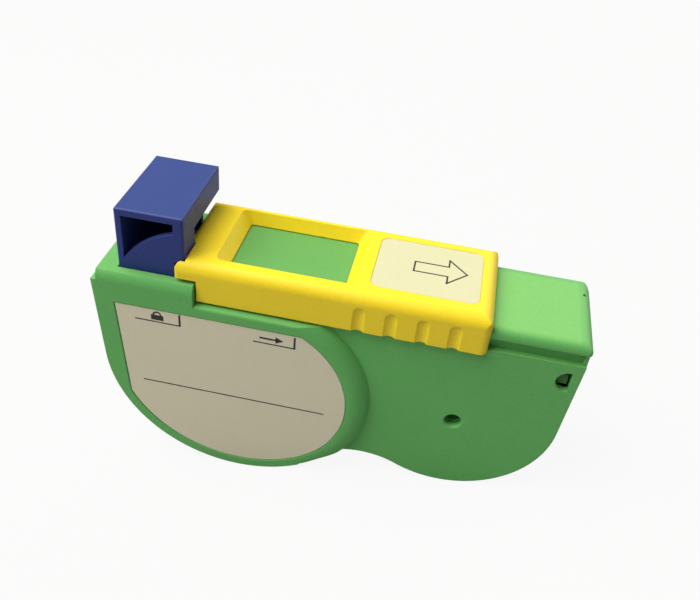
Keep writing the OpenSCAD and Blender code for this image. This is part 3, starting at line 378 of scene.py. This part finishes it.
def arc_band(cx, cy, r, w, a0, a1, n=14):
    """A bent band as a list of small quads about a centre, angles in degrees."""
    quads = []
    for k in range(n):
        a, b = (math.radians(a0 + (a1 - a0) * j / n) for j in (k, k + 1))
        quads.append([(cx + q * math.cos(t), cy + q * math.sin(t))
                      for q, t in ((r - w / 2, a), (r + w / 2, a), (r + w / 2, b), (r - w / 2, b))])
    return quads


ink = moulded("black_print", (0.035, 0.033, 0.03), grain=0.1, gloss=0.5, edge=0.01, uneven=0.1)
line, upright, bracket_tall = 0.34, 0.5, 3.7


def bracket(x0, x1, foot):
    """A foot line with an upright at its right end."""
    return [bar(x0, foot, x1, foot + line), bar(x1 - upright, foot, x1, foot + bracket_tall)]


padlock_body = bar(-45.2, 46.95, -42.0, 48.5)
padlock_bow = arc_band(-43.6, 48.5, 0.95, 0.42, 0.0, 180.0)
arrow_shaft = bar(-17.6, 47.5, -13.2, 48.0)
arrow_head = [(-13.6, 46.75), (-11.6, 47.75), (-13.6, 48.75)]
rule_foot = 25.6
middle_rule = bar(-48.6, rule_foot, -0.2, rule_foot + line)
side_print = (bracket(-49.4, -37.6, 46.2) + bracket(-19.2, -8.6, 46.0)
              + [middle_rule, padlock_body, arrow_shaft, arrow_head] + padlock_bow)
side_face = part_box("side_label")[0][1] / mm
ink_root = 0.002
side_label_print = ink_mesh("side_label_print", side_print, side_face + ink_root, "y", ink)
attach(side_label_print, "case")


# The sliding cover: a glossy yellow moulding with a bevelled window and four grip
# scoops on each skirt, and a pale sticker with an arrow that shows which way to wipe.
slider_yellow = moulded("yellow_slider_plastic", (0.96, 0.73, 0.025),
                        grain=0.4, gloss=0.42, edge=0.3, uneven=0.03)
dress("slider_cover", slider_yellow)
paper_cream = moulded("cream_paper", (0.64, 0.635, 0.40),
                      grain=0.25, gloss=0.45, edge=0.05, uneven=0.02)
dress("slider_label", paper_cream)

stroke = 0.42
tail_x, neck_x, tip_x, arrow_y = 16.1, 24.4, 29.0, 0.9
shaft_half, head_half = 2.0, 4.8
arrow = [(tail_x, shaft_half), (neck_x, shaft_half), (neck_x, head_half), (tip_x, 0.0),
         (neck_x, -head_half), (neck_x, -shaft_half), (tail_x, -shaft_half)]
arrow_print = []
for start, end in zip(arrow, arrow[1:] + arrow[:1]):
    a, b = Vector(start), Vector(end)
    along = (b - a).normalized() * stroke / 2
    across = Vector((-along.y, along.x))
    arrow_print.append([(p.x, p.y + arrow_y) for p in
                        (a - along + across, a - along - across, b + along - across, b + along + across)])
slider_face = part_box("slider_label")[1][2] / mm
slider_label_print = ink_mesh("slider_label_print", arrow_print, slider_face - ink_root / 2,
                              "z", ink, thick=0.02)
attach(slider_label_print, "slider")


# The push button with its rack: a deep blue moulding, open at the front, and a rack
# of white acetal that hangs from its stem into the case.
# The blue's faces that look up are paled toward grey-green: a dusting and a painted sheen.
button_blue = moulded("blue_button_plastic", (0.020, 0.040, 0.222),
                      grain=0.65, gloss=0.4, edge=0.3, dust_and_sheen=0.038, dust_and_sheen_colour=(0.65, 0.82, 0.74))
dress("feed_button", button_blue)
acetal = moulded("white_acetal", (0.78, 0.77, 0.72),
                 grain=0.15, gloss=0.35, edge=0.15, uneven=0.02)
dress("feed_rack", acetal)


# The button's spring: six turns of drawn steel wire that stand on the case's shelf
# inside the stem.
spring_steel = metal("spring_steel", (0.55, 0.55, 0.56), 0.28, streak=1500.0)
coil_tree = bpy.data.node_groups.new("wire_coil", "GeometryNodeTree")
coil_tree.interface.new_socket("Geometry", in_out="OUTPUT", socket_type="NodeSocketGeometry")
coil_sockets = {}
for label, kind in (("Coil radius", "NodeSocketFloat"), ("Wire radius", "NodeSocketFloat"),
                    ("Turns", "NodeSocketFloat"), ("Height", "NodeSocketFloat"),
                    ("Foot", "NodeSocketVector"), ("Steel", "NodeSocketMaterial")):
    coil_sockets[label] = coil_tree.interface.new_socket(label, in_out="INPUT", socket_type=kind).identifier
coil_in = coil_tree.nodes.new("NodeGroupInput")
coil_out = coil_tree.nodes.new("NodeGroupOutput")
coil_path = coil_tree.nodes.new("GeometryNodeCurveSpiral")
coil_path.inputs["Resolution"].default_value = 36
wire = coil_tree.nodes.new("GeometryNodeCurvePrimitiveCircle")
wire.inputs["Resolution"].default_value = 12
coil_sweep = coil_tree.nodes.new("GeometryNodeCurveToMesh")
coil_sweep.inputs["Fill Caps"].default_value = True
coil_place = coil_tree.nodes.new("GeometryNodeTransform")
coil_real = coil_tree.nodes.new("GeometryNodeRealizeInstances")
coil_paint = coil_tree.nodes.new("GeometryNodeSetMaterial")
for start, end in (
        (coil_in.outputs["Coil radius"], coil_path.inputs["Start Radius"]),
        (coil_in.outputs["Coil radius"], coil_path.inputs["End Radius"]),
        (coil_in.outputs["Turns"], coil_path.inputs["Rotations"]),
        (coil_in.outputs["Height"], coil_path.inputs["Height"]),
        (coil_in.outputs["Wire radius"], wire.inputs["Radius"]),
        (coil_path.outputs["Curve"], coil_sweep.inputs["Curve"]),
        (wire.outputs["Curve"], coil_sweep.inputs["Profile Curve"]),
        (coil_sweep.outputs["Mesh"], coil_place.inputs["Geometry"]),
        (coil_in.outputs["Foot"], coil_place.inputs["Translation"]),
        (coil_place.outputs["Geometry"], coil_real.inputs["Geometry"]),
        (coil_real.outputs["Geometry"], coil_paint.inputs["Geometry"]),
        (coil_in.outputs["Steel"], coil_paint.inputs["Material"]),
        (coil_paint.outputs["Geometry"], coil_out.inputs["Geometry"])):
    coil_tree.links.new(start, end)

spring_low, spring_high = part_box("button_spring")
wire_r, coil_r = 0.4 * mm, 4.0 * mm
spring_axis = (spring_low[0] + wire_r + coil_r, (spring_low[1] + spring_high[1]) / 2)
maker = bpy.data.objects.new("coil_maker", bpy.data.meshes.new("coil_maker"))
scene.collection.objects.link(maker)
coiling = maker.modifiers.new("coiling", "NODES")
coiling.node_group = coil_tree
for label, value in (("Coil radius", coil_r), ("Wire radius", wire_r), ("Turns", 6.0),
                     ("Height", spring_high[2] - spring_low[2] - 2 * wire_r),
                     ("Foot", (*spring_axis, spring_low[2] + wire_r)), ("Steel", spring_steel)):
    coiling[coil_sockets[label]] = value
coil_mesh = bpy.data.meshes.new_from_object(maker.evaluated_get(bpy.context.evaluated_depsgraph_get()))
bpy.data.objects.remove(maker)
for face in coil_mesh.polygons:
    face.use_smooth = True
coil = bpy.data.objects.new("button_coil_spring", coil_mesh)
scene.collection.objects.link(coil)
if not coil_mesh.materials:
    coil_mesh.materials.append(spring_steel)
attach(coil, "case")
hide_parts("button_spring")
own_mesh(coil)


# The drive: a wheel and an orange pinion with clutch arms on a ground steel pin, and
# the pawl that keeps the take-up gear from turning back, all of plain acetal.
clutch_orange = moulded("orange_clutch_plastic", (0.62, 0.12, 0.035), grain=0.2, gloss=0.4, edge=0.15)
ground_steel = metal("ground_steel", (0.60, 0.60, 0.61), 0.22, streak=2200.0)
dress("drive_gear", acetal)
dress("clutch_pinion", clutch_orange)
dress("drive_axle", ground_steel)
dress("anti_reverse_pawl", acetal)
dress("supply_brake", acetal)


# The reels: hubs and flanges of white polystyrene, and two rolls of thin cleaning
# cloth, wound turn on turn from the hub outwards as the real tape is.
reel_white = moulded("white_reel_plastic", (0.74, 0.74, 0.72),
                     grain=0.15, gloss=0.3, edge=0.15, uneven=0.02)
for name in ("take_up_spool", "take_up_gear", "supply_spool", "supply_flange"):
    dress(name, reel_white)


def cloth(name, colour, weave=5200.0):
    """Fine woven cloth: crossed threads in the bump, and a little lint in the colour."""
    paint = bpy.data.materials.new(name)
    paint.use_nodes = True
    tree = paint.node_tree
    links = tree.links
    shader = tree.nodes["Principled BSDF"]
    shader.inputs["Roughness"].default_value = 0.85
    shader.inputs["Sheen Weight"].default_value = 0.25
    place = tree.nodes.new("ShaderNodeTexCoord")
    height = tree.nodes.new("ShaderNodeMath")
    height.operation = "MAXIMUM"
    for k, way in enumerate(("X", "Y")):
        threads = tree.nodes.new("ShaderNodeTexWave")
        threads.bands_direction = way
        threads.inputs["Scale"].default_value = weave / 6.2832
        threads.inputs["Distortion"].default_value = 0.6
        links.new(place.outputs["Object"], threads.inputs["Vector"])
        links.new(threads.outputs["Fac"], height.inputs[k])
    lint = tree.nodes.new("ShaderNodeTexNoise")
    lint.inputs["Scale"].default_value = 420.0
    links.new(place.outputs["Object"], lint.inputs["Vector"])
    tint = tree.nodes.new("ShaderNodeValToRGB")
    tint.color_ramp.elements[0].color = [c * 0.93 for c in colour] + [1.0]
    tint.color_ramp.elements[1].color = list(colour) + [1.0]
    links.new(lint.outputs["Fac"], tint.inputs["Fac"])
    links.new(tint.outputs["Color"], shader.inputs["Base Color"])
    bump = tree.nodes.new("ShaderNodeBump")
    bump.inputs["Strength"].default_value = 0.5
    bump.inputs["Distance"].default_value = 0.00005
    links.new(height.outputs[0], bump.inputs["Height"])
    links.new(bump.outputs["Normal"], shader.inputs["Normal"])
    return paint


new_cloth = cloth("clean_tape_cloth", (0.72, 0.72, 0.70))
used_cloth = cloth("used_tape_cloth", (0.54, 0.55, 0.56))

tape_half = 6.5
roll_tree = bpy.data.node_groups.new("wound_tape", "GeometryNodeTree")
roll_tree.interface.new_socket("Geometry", in_out="OUTPUT", socket_type="NodeSocketGeometry")
roll_sockets = {}
for label, kind in (("Hub radius", "NodeSocketFloat"), ("Roll radius", "NodeSocketFloat"),
                    ("Turns", "NodeSocketFloat"), ("Width", "NodeSocketFloat"),
                    ("Centre", "NodeSocketVector"), ("Cloth", "NodeSocketMaterial")):
    roll_sockets[label] = roll_tree.interface.new_socket(label, in_out="INPUT", socket_type=kind).identifier
roll_in = roll_tree.nodes.new("NodeGroupInput")
roll_out = roll_tree.nodes.new("NodeGroupOutput")
tape_spiral = roll_tree.nodes.new("GeometryNodeCurveSpiral")
tape_spiral.inputs["Resolution"].default_value = 40
tape_spiral.inputs["Height"].default_value = 0.0
halves = []
for share_of_width in (-0.5, 0.5):
    half = roll_tree.nodes.new("ShaderNodeMath")
    half.operation = "MULTIPLY"
    half.inputs[1].default_value = share_of_width
    edge_point = roll_tree.nodes.new("ShaderNodeCombineXYZ")
    roll_tree.links.new(roll_in.outputs["Width"], half.inputs[0])
    roll_tree.links.new(half.outputs[0], edge_point.inputs["Y"])
    halves.append(edge_point)
strip_line = roll_tree.nodes.new("GeometryNodeCurvePrimitiveLine")
strip_sweep = roll_tree.nodes.new("GeometryNodeCurveToMesh")
roll_place = roll_tree.nodes.new("GeometryNodeTransform")
roll_place.inputs["Rotation"].default_value = (math.pi / 2, 0.0, 0.0)
roll_real = roll_tree.nodes.new("GeometryNodeRealizeInstances")
roll_paint = roll_tree.nodes.new("GeometryNodeSetMaterial")
for start, end in (
        (roll_in.outputs["Hub radius"], tape_spiral.inputs["Start Radius"]),
        (roll_in.outputs["Roll radius"], tape_spiral.inputs["End Radius"]),
        (roll_in.outputs["Turns"], tape_spiral.inputs["Rotations"]),
        (halves[0].outputs[0], strip_line.inputs["Start"]),
        (halves[1].outputs[0], strip_line.inputs["End"]),
        (tape_spiral.outputs["Curve"], strip_sweep.inputs["Curve"]),
        (strip_line.outputs["Curve"], strip_sweep.inputs["Profile Curve"]),
        (strip_sweep.outputs["Mesh"], roll_place.inputs["Geometry"]),
        (roll_in.outputs["Centre"], roll_place.inputs["Translation"]),
        (roll_place.outputs["Geometry"], roll_real.inputs["Geometry"]),
        (roll_real.outputs["Geometry"], roll_paint.inputs["Geometry"]),
        (roll_in.outputs["Cloth"], roll_paint.inputs["Material"]),
        (roll_paint.outputs["Geometry"], roll_out.inputs["Geometry"])):
    roll_tree.links.new(start, end)


def wind(name, centre, hub_r, roll_r, turns, paint):
    """A roll of tape: one spiral strip."""
    holder = bpy.data.objects.new(name + "_tree", bpy.data.meshes.new(name + "_tree"))
    scene.collection.objects.link(holder)
    winding = holder.modifiers.new("winding", "NODES")
    winding.node_group = roll_tree
    for label, value in (("Hub radius", hub_r * mm), ("Roll radius", roll_r * mm), ("Turns", float(turns)),
                         ("Width", 2 * tape_half * mm), ("Centre", (centre[0] * mm, 0.0, centre[1] * mm)),
                         ("Cloth", paint)):
        winding[roll_sockets[label]] = value
    sized = bpy.data.meshes.new_from_object(holder.evaluated_get(bpy.context.evaluated_depsgraph_get()))
    bpy.data.objects.remove(holder)
    roll = bpy.data.objects.new(name, sized)
    scene.collection.objects.link(roll)
    if not sized.materials:
        sized.materials.append(paint)
    return roll


# Where the reels and rollers turn, in mm in the X-Z plane, and the rolls' radii
axle = {joint["child"]: (joint["pos_m"][0] / mm, joint["pos_m"][2] / mm)
        for joint in frame["joints"] if "pos_m" in joint}
supply, take_up = axle["supply"], axle["take_up"]
new_r, used_r = 17.0, 10.0
new_hub_r, used_hub_r = 5.2, 6.2
loose = 0.1
new_turns, used_turns = 26, 9
new_roll = wind("new_tape_winding", supply, new_hub_r, new_r - loose, new_turns, new_cloth)
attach(new_roll, "supply")
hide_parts("new_tape_roll")
used_roll = wind("used_tape_winding", take_up, used_hub_r, used_r - loose, used_turns, used_cloth)
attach(used_roll, "take_up")
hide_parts("used_tape_roll")


# The guide rollers on their pins, and the pad on its holder: the pad is a soft grey
# rubber block, crowned at the top, that presses the tape up into the wiping slot.
roller_white = moulded("white_roller_plastic", (0.70, 0.70, 0.68),
                       grain=0.1, gloss=0.28, edge=0.1, uneven=0.02)
for name in ("left_guide_roller", "right_guide_roller", "pad_holder"):
    dress(name, roller_white)
dress("guide_pins", ground_steel)

pad_low, pad_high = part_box("wiping_pad")
pad_size = [pad_high[k] - pad_low[k] for k in range(3)]
crown, belly = 0.16, 0.03
pad_mesh = bpy.data.meshes.new("crowned_pad")
pad_bm = bmesh.new()
bmesh.ops.create_cube(pad_bm, size=1.0)
bmesh.ops.subdivide_edges(pad_bm, edges=pad_bm.edges[:], cuts=9, use_grid_fill=True)
for v in pad_bm.verts:
    x, y, z = v.co.x * 2, v.co.y * 2, v.co.z * 2
    top = 1.0 - crown * max(abs(x) ** 6, abs(y) ** 6) if z > 0 else 1.0
    side = 1.0 - belly * z * z
    v.co = Vector((x * side / 2 * pad_size[0], y * side / 2 * pad_size[1], z * top / 2 * pad_size[2]))
pad_bm.transform(Matrix.Translation([(pad_low[k] + pad_high[k]) / 2 for k in range(3)]))
bmesh.ops.recalc_face_normals(pad_bm, faces=pad_bm.faces)
pad_bm.to_mesh(pad_mesh)
pad_bm.free()
for face in pad_mesh.polygons:
    face.use_smooth = True
pad = bpy.data.objects.new("crowned_pad", pad_mesh)
scene.collection.objects.link(pad)
pad_rubber = moulded("grey_pad_rubber", (0.30, 0.31, 0.32), grain=0.9, gloss=0.7, edge=0.05)
pad_mesh.materials.append(pad_rubber)
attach(pad, "case")
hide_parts("wiping_pad")


# The tape between the rolls: a strip of thin woven cloth, drawn tight from the supply
# roll over the right roller, across the pad and over the left roller to the used roll.
gap, tape_thick, cloth_thick = 0.15, 0.3, 0.18
off = gap + tape_thick / 2
roller_r = 3.0
pad_corner = 0.8
pad_top = pad_high[2] / mm
# The circles that the tape passes: middle, radius of the tape's way, and side. Its runs
# are the straight lines that touch two circles, and at each circle it bends along it.
turns = [
    (supply, new_r + off, 1), (axle["right_roller"], roller_r + off, 1),
    ((pad_high[0] / mm - pad_corner, pad_top - pad_corner), pad_corner + off, 1),
    ((pad_low[0] / mm + pad_corner, pad_top - pad_corner), pad_corner + off, 1),
    (axle["left_roller"], roller_r + off, 1), (take_up, used_r + off, -1),
]
runs = []
for (c0, r0, s0), (c1, r1, s1) in zip(turns, turns[1:]):
    dx, dz = c1[0] - c0[0], c1[1] - c0[1]
    heading = math.atan2(dz, dx) % (2 * math.pi)
    runs.append(heading - math.asin((s1 * r1 - s0 * r0) / math.hypot(dx, dz)))
path = []
for k, (c, r, s) in enumerate(turns):
    a0, a1 = runs[max(0, k - 1)], runs[min(len(runs) - 1, k)]
    # Twelve steps along each bend, but a single point where the strip ends
    steps = 12
    for j in range(1 if a0 == a1 else steps + 1):
        a = a0 + (a1 - a0) * j / steps
        path.append(Vector((c[0] + s * r * math.sin(a), c[1] - s * r * math.cos(a))))
step_long = 0.8
dense = [path[0]]
for point in path[1:]:
    parts = max(1, int((point - dense[-1]).length / step_long))
    start = dense[-1]
    dense += [start.lerp(point, (j + 1) / parts) for j in range(parts)]
tape_mesh = bpy.data.meshes.new("drawn_tape")
tape_bm = bmesh.new()
strips = 12
across = [-tape_half + 2 * tape_half * j / strips for j in range(strips + 1)]
rows = [[tape_bm.verts.new((p.x * mm, y * mm, p.y * mm)) for y in across] for p in dense]
for a, b in zip(rows, rows[1:]):
    for j in range(strips):
        tape_bm.faces.new((a[j], a[j + 1], b[j + 1], b[j]))
tape_bm.normal_update()
tape_bm.to_mesh(tape_mesh)
tape_bm.free()
for face in tape_mesh.polygons:
    face.use_smooth = True
tape = bpy.data.objects.new("drawn_tape", tape_mesh)
scene.collection.objects.link(tape)
tape_mesh.materials.append(new_cloth)
body_of_cloth = tape.modifiers.new("thickness", "SOLIDIFY")
body_of_cloth.thickness = cloth_thick * mm
body_of_cloth.offset = 0.0
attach(tape, "case")
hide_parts("tape_run")
